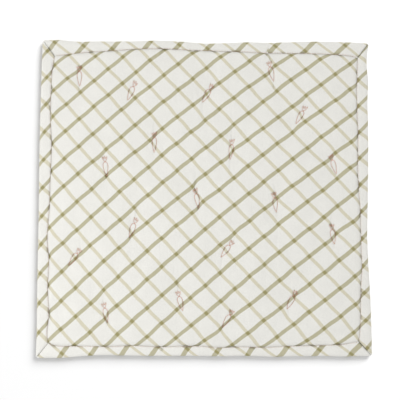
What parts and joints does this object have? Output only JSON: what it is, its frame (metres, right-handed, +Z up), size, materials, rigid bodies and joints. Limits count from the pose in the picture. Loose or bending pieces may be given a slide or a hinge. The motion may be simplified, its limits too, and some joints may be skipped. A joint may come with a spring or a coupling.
{
  "type": "quilted blanket",
  "caption": "Square padded play quilt of checked cotton, tufted by small stitched motifs, with a wide mitred padded edge.",
  "frame": {"origin": "middle of the quilt's bounding box, on the surface that it lies on", "axes": "+Z up through the quilt, +X across its longer side, +Y towards its top edge as the small motifs stand upright"},
  "size_m": [1.0418, 0.9858, 0.0209],
  "materials": {
    "quilt_cloth": "matte cotton weave, cream with an olive and pale khaki diagonal windowpane check",
    "edge_cloth": "matte cotton weave, cream with an olive and pale khaki diagonal windowpane check",
    "motif_thread": "soft coral embroidery thread"
  },
  "bodies": {
    "root": {"quilt_pad": "quilt_cloth", "binding_bottom": "edge_cloth", "binding_right": "edge_cloth", "binding_top": "edge_cloth", "binding_left": "edge_cloth"}
  },
  "joints": []
}
